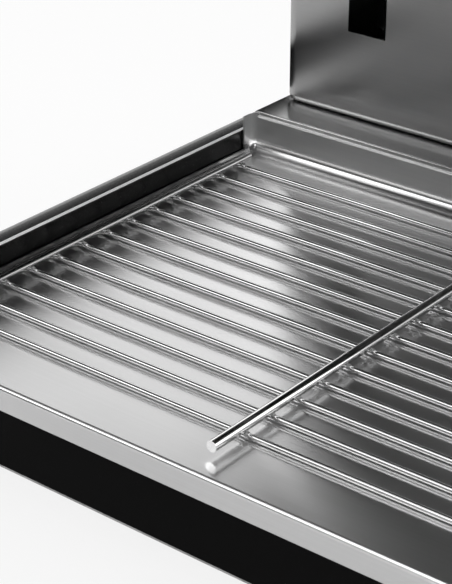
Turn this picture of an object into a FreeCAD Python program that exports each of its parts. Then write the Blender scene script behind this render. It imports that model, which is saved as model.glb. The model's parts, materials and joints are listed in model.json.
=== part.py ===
import FreeCAD, Part
import os
import re
import Sketcher
from FreeCAD import Placement, Rotation, Vector

# Salamander grill: a low base with a pull-out tray and a loose wire grid, a rear column,
# and a heating hood that rises and falls on two guide rods, balanced by a weight.
# Frame: +Z up, the front faces -Y, the origin lies on the table under the middle of the whole.

doc = FreeCAD.newDocument("SalamanderGrill")
sheet = doc.addObject("Spreadsheet::Sheet", "Sizes")

sizes = {
    # base and sheet metal
    "footHeight": 22,
    "footRadius": 17,
    "footInset": 42,
    "bodyHeight": 68,
    "sheetGauge": 1.2,
    "cavityHalf": 216.5,
    "beadRadius": 9,
    "beadRise": 7,
    "railEdge": 1.5,
    "railBend": 2,
    "fasciaSetback": 22,
    "fasciaFlange": 12,
    "seatGap": 0.3,
    "runnerWidth": 13,
    "runnerGauge": 1.5,
    "runnerHeight": 14,
    "ventLength": 60,
    "ventWidth": 5,
    "ventPitch": 24,
    "ventCount": 6,
    # tray
    "trayBack": 98,
    "trayDepth": 320,
    "trayGap": 0.8,
    "rearWallHeight": 24.5,
    "rearBend": 8,
    "sideBend": 3.5,
    "sideUpstand": 2.5,
    "cornerReturn": 9,
    "hemDepth": 2.6,
    "hemHeight": 3,
    "hemBend": 2.4,
    "lipDrop": 13.5,
    "lipBend": 2.4,
    "lipReturn": 6,
    # wire grid
    "wireRadius": 1.6,
    "barRadius": 3,
    "wireCount": 13,
    "wirePitch": 20.8,
    "firstWire": 30.8,
    "barSpacing": 200.6,
    "wireTail": 3.4,
    "barTailRear": 8,
    "barTailFront": 24,
    "weldSink": 0.25,
    # rear deck and column
    "deckGap": 0.7,
    "deckFlange": 26,
    "deckEdge": 1.3,
    "ledgeDepth": 30,
    "columnHalf": 213,
    "columnDepth": 104,
    "columnRise": 40,
    "columnCorner": 9,
    "columnFoot": 5,
    "capHeight": 14,
    "capSkirt": 8,
    "rearFlange": 16,
    # guide rods and carriage
    "guideSpan": 150,
    "guideRadius": 7,
    "guideSetback": 32,
    "frameGauge": 3,
    "frameSetback": 78,
    "frameHalf": 176,
    "travel": 190,
    "runFit": 0.05,
    "blockWidth": 36,
    "blockHeight": 84,
    "blockDrop": 12,
    "bushWall": 2.5,
    "bushLength": 18,
    "barHeight": 30,
    "barGauge": 6,
    "armWidth": 24,
    "armHeight": 60,
    "armWall": 3,
    "slotClear": 2,
    # counterbalance
    "pulleySpan": 60,
    "pulleyRadius": 15,
    "pulleyFlange": 18,
    "pulleyWidth": 9,
    "pulleyDrop": 26,
    "axleRadius": 4,
    "bracketGauge": 2,
    "cableRadius": 1.5,
    "cableGap": 0.1,
    "weightHalf": 118,
    "weightDepth": 36,
    "weightLift": 4,
    "weightClear": 15.5,
    "weightRodSpan": 96,
    "weightRodRadius": 4,
    # hood
    "hoodLift": 250,
    "hoodHeight": 120,
    "hoodHalf": 232,
    "hoodDepth": 322,
    "hoodClear": 8,
    "hoodEdge": 12,
    "hoodCorner": 14,
    "linerHalf": 196,
    "linerRim": 30,
    "linerHeight": 42,
    "linerCorner": 12,
    "padThickness": 20,
    "shieldInset": 4,
    "shieldHeight": 68,
    # heating elements and their guard
    "elementRadius": 4.2,
    "elementBend": 19,
    "elementPitch": 80,
    "elementRise": 18,
    "elementMargin": 34,
    "elementTail": 14,
    "hangerGauge": 1.5,
    "guardRadius": 1.5,
    "guardPitch": 30,
    "guardRise": 5,
    # handle
    "gripRadius": 11,
    "gripHalf": 190,
    "gripReach": 36,
    "gripRise": 30,
    "postSpan": 150,
    "postRadius": 8,
    # controls
    "panelHalf": 122,
    "panelHeight": 46,
    "panelGauge": 1.5,
    "controlRise": 91,
    "knobRadius": 18,
    "knobDepth": 20,
    "knobGap": 0.8,
    "spindleRadius": 3,
    "regulatorAt": 62,
    "timerAt": 0,
    "switchAt": -92,
    "lampOffset": 46,
    "lampRadius": 6,
    "caseHalf": 17,
    "switchHalf": 11,
    "switchRise": 15,
    "pivotRadius": 1.5,
    "pivotDepth": 4,
    # supply entry
    "glandAt": 150,
    "glandRise": 56,
    "glandBore": 5.5,
    "glandRadius": 10,
    "glandReach": 17,
    # fasteners
    "screwRadius": 2,
    "screwHead": 4,
    "screwHeadHeight": 2.2,
    "boltRadius": 3,
    "boltHead": 5.5,
}

# Places that several pieces share, each written once from the sizes above.
places = {
    "columnHeight": "hoodTop + columnRise",
    "floorTop": "footHeight + bodyHeight",
    "floorUnder": "floorTop - sheetGauge",
    "lipFront": "trayBack - trayDepth",
    "fasciaFront": "lipFront + fasciaSetback",
    "trayHalf": "cavityHalf - trayGap",
    "railCentre": "cavityHalf + beadRadius",
    "beadCentre": "floorTop + beadRise",
    "railTop": "beadCentre + beadRadius",
    "runnerTop": "floorUnder - seatGap",
    "deckTop": "floorTop + rearWallHeight",
    "deckFront": "trayBack + sheetGauge + hemDepth + deckGap",
    "columnFront": "trayBack + ledgeDepth",
    "columnBack": "columnFront + columnDepth",
    "columnFloor": "deckTop + seatGap",
    "wireCentre": "floorTop + seatGap + wireRadius",
    "barCentre": "wireCentre + wireRadius + barRadius - weldSink",
    "lastWire": "firstWire + (wireCount - 1) * wirePitch",
    "guideAt": "columnFront + guideSetback",
    "frameAt": "columnFront + frameSetback",
    "frameFloor": "deckTop",
    "frameCeiling": "columnHeight - capHeight",
    "blockTop": "hoodTop - hoodHeight / 5",
    "blockBottom": "blockTop - blockHeight",
    "blockFront": "guideAt - blockWidth / 2",
    "armTop": "blockTop - blockDrop",
    "armBottom": "armTop - armHeight",
    "barFront": "guideAt + 5 - pulleyRadius - barGauge / 2",
    "barTop": "blockTop - blockHeight / 2 + barHeight / 2",
    "pulleyAt": "guideAt + 5",
    "pulleyUp": "frameCeiling - frameGauge - pulleyDrop",
    "weightFloor": "frameFloor + frameGauge + weightLift",
    "weightTop": "pulleyUp - pulleyFlange - travel - weightClear",
    "weightMiddle": "pulleyAt + pulleyRadius + 2",
    "pulleySeat": "pulleyRadius - cableRadius - cableGap",
    "bushRadius": "guideRadius + runFit + bushWall",
    "runnerEnd": "trayBack + sheetGauge + seatGap + runnerGauge",
    "hoodBottom": "floorTop + hoodLift",
    "hoodTop": "hoodBottom + hoodHeight",
    "hoodRear": "columnFront - hoodClear",
    "hoodFront": "hoodRear - hoodDepth",
    "linerFront": "hoodFront + linerRim",
    "linerRear": "hoodRear - linerRim",
    "linerTop": "hoodBottom + linerHeight",
    "elementUp": "hoodBottom + elementRise",
    "hoodMiddle": "(hoodFront + hoodRear) / 2",
    "gripAt": "hoodFront - gripReach",
    "gripUp": "hoodBottom + gripRise",
    "controlUp": "hoodBottom + controlRise",
    "panelFront": "hoodFront - panelGauge",
    "glandUp": "glandRise",
}

for row, (word, size) in enumerate(sizes.items(), start=1):
    sheet.set("A%d" % row, word)
    sheet.set("B%d" % row, str(size))
    sheet.setAlias("B%d" % row, word)
doc.recompute()


def linked(text):
    """Turn words for sizes and places into references to the sheet."""
    def swap(match):
        word = match.group(0)
        if word in places:
            return "(" + linked(places[word]) + ")"
        if word in sizes:
            return "Sizes." + word
        return word
    return re.sub(r"[A-Za-z]\w*", swap, text)


def bind(piece, **expressions):
    """Tie properties of a piece to the sheet; a double underscore stands for a dot."""
    for name, text in expressions.items():
        piece.setExpression(name.replace("__", "."), linked(text))
    return piece


def place(piece, x, y, z):
    """Tie the position of a piece to the sheet."""
    return bind(piece, Placement__Base__x=x, Placement__Base__y=y, Placement__Base__z=z)


made = 0


def fresh(word):
    """A name for a helper object."""
    global made
    made += 1
    return "%s_%03d" % (word, made)


def block(x, y, z, name=None):
    """A box between three pairs of planes."""
    box = doc.addObject("Part::Box", name or fresh("block"))
    bind(box, Length="(%s) - (%s)" % (x[1], x[0]))
    bind(box, Width="(%s) - (%s)" % (y[1], y[0]))
    bind(box, Height="(%s) - (%s)" % (z[1], z[0]))
    return place(box, x[0], y[0], z[0])


turns = {
    "X": Rotation(Vector(0, 1, 0), 90),
    "Y": Rotation(Vector(1, 0, 0), -90),
    "Z": Rotation(),
    "-X": Rotation(Vector(0, 1, 0), -90),
    "-Y": Rotation(Vector(1, 0, 0), 90),
}


def round_bar(axis, start, end, across, radius, name=None):
    """A cylinder along X, Y or Z from start to end; across holds its other two places."""
    bar = doc.addObject("Part::Cylinder", name or fresh("bar"))
    bar.Placement = Placement(Vector(), turns[axis])
    bind(bar, Radius=radius, Height="(%s) - (%s)" % (end, start))
    spot = list(across)
    spot.insert("XYZ".index(axis), start)
    return place(bar, *spot)


def fused(pieces, name=None):
    """Several pieces joined into one."""
    joined = doc.addObject("Part::MultiFuse", name or fresh("fused"))
    joined.Shapes = pieces
    joined.Refine = True
    return joined


def cut(base, tools, name=None):
    """A piece with others taken out of it."""
    result = doc.addObject("Part::Cut", name or fresh("cut"))
    result.Base = base
    result.Tool = tools[0] if len(tools) == 1 else fused(tools)
    result.Refine = True
    return result


def group(pieces, name):
    """Separate like pieces kept under one name."""
    together = doc.addObject("Part::Compound", name)
    together.Links = pieces
    return together


def edges_where(feature, test):
    """Names of the edges whose middle and direction pass a test."""
    names = []
    for number, edge in enumerate(feature.Shape.Edges, start=1):
        middle = edge.valueAt((edge.FirstParameter + edge.LastParameter) / 2)
        box = edge.BoundBox
        if test(middle, (box.XLength, box.YLength, box.ZLength)):
            names.append("Edge%d" % number)
    return names


def faces_where(feature, test):
    """Names of the flat faces whose centre and outward normal pass a test."""
    names = []
    for number, face in enumerate(feature.Shape.Faces, start=1):
        if face.Surface.TypeId == "Part::GeomPlane":
            if test(face.CenterOfMass, face.normalAt(0, 0)):
                names.append("Face%d" % number)
    return names


def body_of(name):
    """A new body."""
    return doc.addObject("PartDesign::Body", name)


def body_box(body, x, y, z, kind="Additive"):
    """Add or take away a box between three pairs of planes."""
    box = body.newObject("PartDesign::%sBox" % kind, fresh("slab"))
    bind(box, Length="(%s) - (%s)" % (x[1], x[0]))
    bind(box, Width="(%s) - (%s)" % (y[1], y[0]))
    bind(box, Height="(%s) - (%s)" % (z[1], z[0]))
    place(box, x[0], y[0], z[0])
    doc.recompute()
    return box


def rounded(body, base, test, radius):
    """Fillet the edges of a body that pass a test."""
    fillet = body.newObject("PartDesign::Fillet", fresh("fillet"))
    fillet.Base = (base, edges_where(base, test))
    bind(fillet, Radius=radius)
    doc.recompute()
    return fillet


def hollowed(body, base, test, gauge):
    """Turn a solid into sheet metal, open at the faces that pass a test."""
    shell = body.newObject("PartDesign::Thickness", fresh("shell"))
    shell.Base = (base, faces_where(base, test))
    shell.Reversed = True
    shell.Mode = 0
    shell.Join = 0
    bind(shell, Value=gauge)
    doc.recompute()
    return shell


def body_bar(body, axis, start, end, across, radius, kind="Additive"):
    """Add or take away a cylinder along X, Y or Z."""
    bar = body.newObject("PartDesign::%sCylinder" % kind, fresh("core"))
    bar.Placement = Placement(Vector(), turns[axis])
    bind(bar, Radius=radius, Height="(%s) - (%s)" % (end, start))
    spot = list(across)
    spot.insert("XYZ".index(axis), start)
    place(bar, *spot)
    doc.recompute()
    return bar


def measure(text):
    """The number that an expression stands for, worked out by the document itself."""
    probe = doc.getObject("Probe")
    if probe is None:
        probe = doc.addObject("App::FeaturePython", "Probe")
        probe.addProperty("App::PropertyFloat", "Reading")
    probe.setExpression("Reading", linked(text))
    probe.recompute()
    return probe.Reading


def outline(body, role, points):
    """A closed outline on an origin plane, each corner held by two distances tied to the sheet."""
    sketch = body.newObject("Sketcher::SketchObject", fresh("outline"))
    plane = [f for f in body.Origin.OriginFeatures if f.Role == role][0]
    sketch.AttachmentSupport = [(plane, "")]
    sketch.MapMode = "FlatFace"
    spots = [Vector(measure(x), measure(y), 0) for x, y in points]
    for start, end in zip(spots, spots[1:] + spots[:1]):
        sketch.addGeometry(Part.LineSegment(start, end), False)
    for index in range(len(spots)):
        follower = (index + 1) % len(spots)
        sketch.addConstraint(Sketcher.Constraint("Coincident", index, 2, follower, 1))
    for index, corner in enumerate(points):
        for kind, text, size in zip(("DistanceX", "DistanceY"), corner, spots[index]):
            held = sketch.addConstraint(Sketcher.Constraint(kind, -1, 1, index, 1, size))
            sketch.setExpression("Constraints[%d]" % held, linked(text))
    doc.recompute()
    return sketch


def turned(name, axis, points, spot):
    """A lathe-turned piece: corners as radius and length along the axis, and where its zero lies."""
    body = body_of(name)
    sketch = outline(body, "XZ_Plane", points)
    spin = body.newObject("PartDesign::Revolution", fresh("spin"))
    spin.Profile = sketch
    spin.ReferenceAxis = (sketch, ["V_Axis"])
    spin.Angle = 360
    body.Placement = Placement(Vector(), turns[axis])
    place(body, *spot)
    doc.recompute()
    return body


def padded(body, sketch, length, midplane=True):
    """Give an outline a thickness."""
    pad = body.newObject("PartDesign::Pad", fresh("pad"))
    pad.Profile = sketch
    pad.Midplane = midplane
    bind(pad, Length=length)
    doc.recompute()
    return pad


def near(a, b):
    """Whether two numbers agree."""
    return abs(a - b) < 0.01


pieces = []


def keep(piece, node):
    """Name a finished piece and list it for writing."""
    piece.Label = node
    pieces.append(piece)
    return piece


hands = (("left", "-1"), ("right", "1"))

# Base: two hollow side rails with a rolled top edge, floor, front fascia and runners
for hand, side in hands:
    rail = body_of("side_rail_" + hand)
    middle = side + " * railCentre"
    across = (middle + " - beadRadius", middle + " + beadRadius")
    length = ("lipFront", "columnBack")
    plain = body_box(rail, across, length, ("footHeight", "railTop"))
    outer = measure(side + " * (cavityHalf + 2 * beadRadius)")
    inner = measure(side + " * cavityHalf")
    top = measure("railTop")
    front = measure("lipFront")
    plain = rounded(rail, plain, lambda p, s: near(p.x, outer) and near(p.z, top), "beadRadius")
    plain = rounded(rail, plain, lambda p, s: near(p.x, inner) and near(p.z, top), "railBend")
    rounded(rail, plain, lambda p, s: near(p.y, front) and not near(p.z, measure("footHeight")), "railEdge")
    across = (middle + " - beadRadius + sheetGauge", middle + " + beadRadius - sheetGauge")
    length = ("lipFront + railEdge", "columnBack - sheetGauge")
    body_box(rail, across, length, ("footHeight - 1", "beadCentre"), "Subtractive")
    body_bar(rail, "Y", *length, (middle, "beadCentre"), "beadRadius - sheetGauge", "Subtractive")
    half = side + " * (railCentre - (beadRadius - sheetGauge) / 2)"
    across = (half + " - (beadRadius - sheetGauge) / 2", half + " + (beadRadius - sheetGauge) / 2")
    body_box(rail, across, length, ("beadCentre - 1", "railTop - sheetGauge"), "Subtractive")
    keep(rail, "side_rail_" + hand)

cavity = ("-cavityHalf", "cavityHalf")
floor = block(cavity, ("fasciaFront", "columnBack"), ("footHeight", "footHeight + sheetGauge"))
holes = []
for index in range(sizes["ventCount"]):
    left = "(%d - (ventCount - 1) / 2) * ventPitch - ventWidth / 2" % index
    holes.append(block((left, left + " + ventWidth"), ("-ventLength", "0"), ("footHeight - 1", "footHeight + 3")))
footSpots = []
for side in ("-1", "1"):
    for row in ("fasciaFront + footInset", "columnBack - footInset"):
        footSpots.append((side + " * (cavityHalf - footInset / 2)", row))
        holes.append(round_bar("Z", "footHeight - 1", "footHeight + 3", footSpots[-1], "boltRadius"))
keep(cut(floor, holes, "base_floor"), "base_floor")

plate = block(cavity, ("fasciaFront", "fasciaFront + sheetGauge"), ("footHeight + sheetGauge", "runnerTop"))
flange = block(cavity, ("fasciaFront", "fasciaFront + fasciaFlange"), ("runnerTop - sheetGauge", "runnerTop"))
keep(fused([plate, flange], "front_fascia"), "front_fascia")

for hand, side in hands:
    wall = (side + " * (cavityHalf - runnerWidth / 2) - runnerWidth / 2",
            side + " * (cavityHalf - runnerWidth / 2) + runnerWidth / 2")
    leg = (side + " * (cavityHalf - runnerGauge / 2) - runnerGauge / 2",
           side + " * (cavityHalf - runnerGauge / 2) + runnerGauge / 2")
    length = ("fasciaFront + fasciaFlange + 1", "runnerEnd")
    shelf = block(wall, length, ("runnerTop - runnerGauge", "runnerTop"))
    upright = block(leg, length, ("runnerTop - runnerHeight", "runnerTop"))
    stop = block(wall, ("runnerEnd - runnerGauge", "runnerEnd"), ("runnerTop - runnerGauge", "floorTop + rearBend"))
    keep(fused([shelf, upright, stop], "tray_runner_" + hand), "tray_runner_" + hand)

foot = [("boltHead + 1", "0"), ("footRadius - 2", "0"), ("footRadius", "2"), ("footRadius - 3", "footHeight"),
        ("boltRadius", "footHeight"), ("boltRadius", "footHeight / 2"), ("boltHead + 1", "footHeight / 2")]
bolt = [("0", "footHeight / 2 - 4"), ("boltHead", "footHeight / 2 - 4"), ("boltHead", "footHeight / 2"),
        ("boltRadius", "footHeight / 2"), ("boltRadius", "footHeight + 10"), ("0", "footHeight + 10")]
feet = []
bolts = []
for index, (x, y) in enumerate(footSpots):
    feet.append(turned("foot_%d" % index, "Z", foot, (x, y, "0")))
    bolts.append(turned("foot_bolt_%d" % index, "Z", bolt, (x, y, "0")))
keep(group(feet, "rubber_feet"), "rubber_feet")
keep(group(bolts, "foot_bolts"), "foot_bolts")

# Tray: one folded and drawn sheet, with a low edge at the sides, a tall back and a lip at the front
tray = body_of("tray_form")
slab = body_box(tray, ("-trayHalf", "trayHalf"), ("lipFront", "trayBack + sheetGauge"), ("floorUnder", "deckTop"))
under = measure("floorUnder")
top = measure("deckTop")
rear = measure("trayBack + sheetGauge")
half = measure("trayHalf")
front = measure("lipFront")
bend = rounded(tray, slab, lambda p, s: near(p.z, under) and near(p.y, rear), "rearBend + sheetGauge")
bend = rounded(tray, bend, lambda p, s: near(abs(p.x), half) and near(s[0], 0) and not near(p.z, top)
               and not near(p.y, front), "sideBend + sheetGauge")
pan = hollowed(tray, bend, lambda p, n: n.z > 0.9 and near(p.z, top) or n.y < -0.9 and near(p.y, front), "sheetGauge")
body_box(tray, cavity, ("lipFront - 1", "trayBack - cornerReturn"), ("floorTop + sideUpstand", "deckTop + 1"),
         "Subtractive")
hem = "trayHalf - sideBend - sheetGauge"
length = ("-(%s)" % hem, hem)
body_box(tray, length, ("trayBack - 1", "trayBack + sheetGauge + 1"), ("deckTop - hemHeight", "deckTop + 1"),
         "Subtractive")
body_box(tray, ("-trayHalf", "trayHalf"), ("lipFront", "lipFront + sheetGauge"), ("floorTop - lipDrop", "floorTop"))
lip = body_box(tray, ("-trayHalf", "trayHalf"), ("lipFront", "lipFront + lipReturn"),
               ("floorTop - lipDrop", "floorTop - lipDrop + sheetGauge"))
long = measure("trayHalf")
floorTop = measure("floorTop")
rounded(tray, lip, lambda p, s: s[0] > long and near(p.y, front) and near(p.z, floorTop), "lipBend")
roll = body_of("tray_hem")
slab = body_box(roll, length, ("trayBack", "trayBack + sheetGauge + hemDepth"), ("deckTop - hemHeight", "deckTop"))
rounded(roll, slab, lambda p, s: near(p.y, measure("trayBack")) and near(p.z, top), "hemBend")
keep(fused([tray, roll], "drip_tray"), "drip_tray")

# Wire grid: thin wires from side to side, welded under three thick bars that run front to back
wires = []
reach = "barSpacing + barRadius + wireTail"
for index in range(sizes["wireCount"]):
    row = "trayBack - firstWire - %d * wirePitch" % index
    wires.append(round_bar("X", "-(%s)" % reach, reach, (row, "wireCentre"), "wireRadius"))
for step in (-1, 0, 1):
    wires.append(round_bar("Y", "trayBack - lastWire - barTailFront", "trayBack - firstWire + barTailRear",
                           ("%d * barSpacing" % step, "barCentre"), "barRadius"))
keep(fused(wires, "wire_grid"), "wire_grid")

# Rear deck behind the tray, and the column that stands on it
deck = body_of("rear_deck")
slab = body_box(deck, cavity, ("deckFront", "columnBack - sheetGauge"), ("deckTop - deckFlange", "deckTop"))
front = measure("deckFront")
slab = rounded(deck, slab, lambda p, s: near(p.z, top) and (near(p.y, front) or s[1] > 50), "deckEdge")
hollowed(deck, slab, lambda p, n: n.z < -0.9 or n.y > 0.9, "sheetGauge")
keep(deck, "rear_deck")

column = body_of("column_form")
slab = body_box(column, ("-columnHalf", "columnHalf"), ("columnFront", "columnBack - sheetGauge"),
                ("columnFloor", "frameCeiling"))
front = measure("columnFront")
base = measure("columnFloor")
slab = rounded(column, slab, lambda p, s: near(p.y, front) and s[2] > 50, "columnCorner")
rounded(column, slab, lambda p, s: near(p.z, base) and p.y < measure("columnBack - sheetGauge") - 0.1, "columnFoot")
core = body_of("column_core")
slab = body_box(core, ("sheetGauge - columnHalf", "columnHalf - sheetGauge"),
                ("columnFront + sheetGauge", "columnBack - 2 * sheetGauge"),
                ("columnFloor + sheetGauge", "frameCeiling + 1"))
front = measure("columnFront + sheetGauge")
base = measure("columnFloor + sheetGauge")
slab = rounded(core, slab, lambda p, s: near(p.y, front) and s[2] > 50, "columnCorner - sheetGauge")
rounded(core, slab, lambda p, s: near(p.z, base) and p.y < measure("columnBack - 2 * sheetGauge") - 0.1,
        "columnFoot - sheetGauge")
inset = "columnFoot + sheetGauge"
openings = [core,
            block(("%s - columnHalf" % inset, "columnHalf - (%s)" % inset),
                  ("columnFront + %s" % inset, "columnBack"), ("columnFloor - 1", "columnFloor + 3")),
            block(("-(columnHalf - rearFlange)", "columnHalf - rearFlange"),
                  ("columnBack - 3 * sheetGauge", "columnBack"),
                  ("columnFloor + rearFlange", "frameCeiling - rearFlange"))]
for hand, side in hands:
    slot = "armWidth / 2 + slotClear"
    openings.append(block(("%s * guideSpan - (%s)" % (side, slot), "%s * guideSpan + %s" % (side, slot)),
                          ("columnFront - 1", "columnFront + 2 * sheetGauge"),
                          ("armBottom - travel - slotClear", "armTop + slotClear")))
coverSpots = []
for side in ("-1", "1"):
    for share in ("0.06", "0.35", "0.65", "0.94"):
        coverSpots.append((side + " * (columnHalf - rearFlange / 2)",
                           "columnFloor + (frameCeiling - columnFloor) * " + share))
for spot in coverSpots:
    openings.append(round_bar("Y", "columnBack - 3 * sheetGauge", "columnBack", spot, "screwRadius"))
keep(cut(column, openings, "column_shell"), "column_shell")

lids = []
for inset, drop in (("0", "0"), ("sheetGauge", "1")):
    lid = body_of(fresh("lid"))
    wide = "columnHalf + seatGap + sheetGauge - " + inset
    front = "columnFront - seatGap - sheetGauge + " + inset
    rear = "columnBack + seatGap + sheetGauge - " + inset
    roof = "columnHeight - " + inset
    slab = body_box(lid, ("-(%s)" % wide, wide), (front, rear), ("frameCeiling - capSkirt - " + drop, roof))
    slab = rounded(lid, slab, lambda p, s: s[2] > 5 and near(p.y, measure(front)), "columnCorner - " + inset)
    rounded(lid, slab, lambda p, s: near(p.z, measure(roof)) and p.y < measure(rear) - 0.1, "columnFoot - " + inset)
    lids.append(lid)
keep(cut(lids[0], lids[1:], "column_cap"), "column_cap")

cover = block(("1 - columnHalf", "columnHalf - 1"), ("columnBack - sheetGauge", "columnBack"),
              ("footHeight + sheetGauge + seatGap", "frameCeiling - capSkirt - seatGap"))
holes = []
for spot in coverSpots:
    holes.append(round_bar("Y", "columnBack - 2 * sheetGauge", "columnBack + 1", spot, "screwRadius"))
for row in range(5):
    for step in (-1, 0, 1):
        middle = "%d * 2 * ventLength" % step
        rise = "frameCeiling - 60 - %d * 3 * ventWidth" % row
        holes.append(block((middle + " - ventLength / 2", middle + " + ventLength / 2"),
                           ("columnBack - 2 * sheetGauge", "columnBack + 1"), (rise, rise + " + ventWidth")))
holes.append(round_bar("Y", "columnBack - 2 * sheetGauge", "columnBack + 1", ("glandAt", "glandUp"), "glandRadius - 2"))
keep(cut(cover, holes, "back_cover"), "back_cover")

screw = [("0", "0"), ("screwHead - 1", "0"), ("screwHead", "1"), ("screwHead", "screwHeadHeight"),
         ("screwRadius", "screwHeadHeight"), ("screwRadius", "screwHeadHeight + 8"), ("0", "screwHeadHeight + 8")]
screws = []
for index, (x, z) in enumerate(coverSpots):
    screws.append(turned("cover_screw_%d" % index, "-Y", screw, (x, "columnBack + screwHeadHeight", z)))
keep(group(screws, "cover_screws"), "cover_screws")

# Inside the column: a folded frame holds the guide rods, the pulleys and the rods of the weight
back = block(("-frameHalf", "frameHalf"), ("frameAt", "frameAt + frameGauge"), ("frameFloor", "frameCeiling"))
ledge = ("guideAt - blockWidth / 2", "frameAt + frameGauge")
lower = block(("-frameHalf", "frameHalf"), ledge, ("frameFloor", "frameFloor + frameGauge"))
upper = block(("-frameHalf", "frameHalf"), ledge, ("frameCeiling - frameGauge", "frameCeiling"))
keep(fused([back, lower, upper], "column_frame"), "column_frame")

rodEnds = ("frameFloor + frameGauge", "frameCeiling - frameGauge")
for hand, side in hands:
    rod = round_bar("Z", *rodEnds, (side + " * guideSpan", "guideAt"), "guideRadius", "guide_rod_" + hand)
    keep(rod, "guide_rod_" + hand)
weightRods = []
for hand, side in hands:
    weightRods.append(round_bar("Z", *rodEnds, (side + " * weightRodSpan", "weightMiddle"), "weightRodRadius"))
keep(group(weightRods, "weight_rods"), "weight_rods")

pulley = [("axleRadius + runFit", "-pulleyWidth / 2"), ("pulleyFlange", "-pulleyWidth / 2"),
          ("pulleyFlange", "1 - pulleyWidth / 2"), ("pulleySeat", "-cableRadius"), ("pulleySeat", "cableRadius"),
          ("pulleyFlange", "pulleyWidth / 2 - 1"), ("pulleyFlange", "pulleyWidth / 2"),
          ("axleRadius + runFit", "pulleyWidth / 2")]
brackets = []
axles = []
bends = []
for hand, side in hands:
    middle = side + " * pulleySpan"
    keep(turned("pulley_" + hand, "X", pulley, (middle, "pulleyAt", "pulleyUp")), "pulley_" + hand)
    cheek = "pulleyWidth / 2 + seatGap"
    legs = []
    for sign in ("-", "+"):
        inner = "%s %s (%s)" % (middle, sign, cheek)
        outer = "%s %s (%s + bracketGauge)" % (middle, sign, cheek)
        pair = (outer, inner) if sign == "-" else (inner, outer)
        legs.append(block(pair, ("pulleyAt - 9", "pulleyAt + 9"), ("pulleyUp - 9", "frameCeiling - frameGauge")))
    legs = fused(legs)
    hole = round_bar("X", "%s - 20" % middle, "%s + 20" % middle, ("pulleyAt", "pulleyUp"), "axleRadius")
    brackets.append(cut(legs, [hole]))
    axles.append(round_bar("X", "%s - (%s + bracketGauge + 2)" % (middle, cheek),
                           "%s + %s + bracketGauge + 2" % (middle, cheek), ("pulleyAt", "pulleyUp"), "axleRadius"))
    ring = doc.addObject("Part::Torus", fresh("bend"))
    ring.Angle3 = 180
    ring.Placement = Placement(Vector(), Rotation(Vector(0, 0, 1), 90) * Rotation(Vector(1, 0, 0), 90))
    bind(ring, Radius1="pulleyRadius", Radius2="cableRadius")
    bends.append(place(ring, middle, "pulleyAt", "pulleyUp"))
keep(group(brackets, "pulley_brackets"), "pulley_brackets")
keep(group(axles, "pulley_axles"), "pulley_axles")
keep(group(bends, "cable_bends"), "cable_bends")

weight = block(("-weightHalf", "weightHalf"), ("weightMiddle - weightDepth / 2", "weightMiddle + weightDepth / 2"),
               ("weightFloor", "weightTop"))
bores = []
cables = []
for hand, side in hands:
    bores.append(round_bar("Z", "weightFloor - 1", "weightTop + 1",
                           (side + " * weightRodSpan", "weightMiddle"), "weightRodRadius + runFit"))
    cables.append(round_bar("Z", "weightTop", "pulleyUp",
                            (side + " * pulleySpan", "pulleyAt + pulleyRadius"), "cableRadius"))
keep(cut(weight, bores, "counterweight"), "counterweight")
keep(group(cables, "weight_cables"), "weight_cables")

# Carriage: two bearing blocks on the guide rods, joined by a bar, with arms through the column's slots
bushes = []
cables = []
for hand, side in hands:
    middle = side + " * guideSpan"
    across = (middle + " - blockWidth / 2", middle + " + blockWidth / 2")
    lump = block(across, ("guideAt - blockWidth / 2", "guideAt + blockWidth / 2"), ("blockBottom", "blockTop"))
    bore = round_bar("Z", "blockBottom - 1", "blockTop + 1", (middle, "guideAt"), "bushRadius")
    keep(cut(lump, [bore], "bearing_block_" + hand), "bearing_block_" + hand)
    for low, high in (("blockBottom", "blockBottom + bushLength"), ("blockTop - bushLength", "blockTop")):
        sleeve = round_bar("Z", low, high, (middle, "guideAt"), "bushRadius")
        hole = round_bar("Z", low + " - 1", high + " + 1", (middle, "guideAt"), "guideRadius + runFit")
        bushes.append(cut(sleeve, [hole]))
    across = (middle + " - armWidth / 2", middle + " + armWidth / 2")
    arm = block(across, ("hoodRear", "blockFront"), ("armBottom", "armTop"))
    across = (middle + " - armWidth / 2 + armWall", middle + " + armWidth / 2 - armWall")
    hollow = block(across, ("hoodRear + armWall", "blockFront + 1"), ("armBottom + armWall", "armTop - armWall"))
    ends = []
    for rise in ("armBottom + armHeight / 4", "armTop - armHeight / 4"):
        ends.append(round_bar("Y", "hoodRear - 1", "hoodRear + armWall + 1", (middle, rise), "boltRadius"))
    keep(cut(arm, [hollow] + ends, "hood_arm_" + hand), "hood_arm_" + hand)
    cables.append(round_bar("Z", "barTop", "pulleyUp", (side + " * pulleySpan", "pulleyAt - pulleyRadius"), "cableRadius"))
keep(group(bushes, "guide_bushes"), "guide_bushes")
keep(group(cables, "lift_cables"), "lift_cables")
span = "guideSpan - blockWidth / 2"
keep(block(("-(%s)" % span, span), ("barFront", "barFront + barGauge"), ("barTop - barHeight", "barTop"),
           "carriage_bar"), "carriage_bar")

boltSpots = []
for side in ("-1", "1"):
    for rise in ("armBottom + armHeight / 4", "armTop - armHeight / 4"):
        boltSpots.append((side + " * guideSpan", rise))
armBolt = [("0", "0"), ("boltHead", "0"), ("boltHead", "4"), ("boltRadius", "4"),
           ("boltRadius", "4 + sheetGauge + armWall + 5"), ("0", "4 + sheetGauge + armWall + 5")]
bolts = []
for index, (x, z) in enumerate(boltSpots):
    bolts.append(turned("arm_bolt_%d" % index, "Y", armBolt, (x, "hoodRear - sheetGauge - 4", z)))
keep(group(bolts, "arm_bolts"), "arm_bolts")

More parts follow.
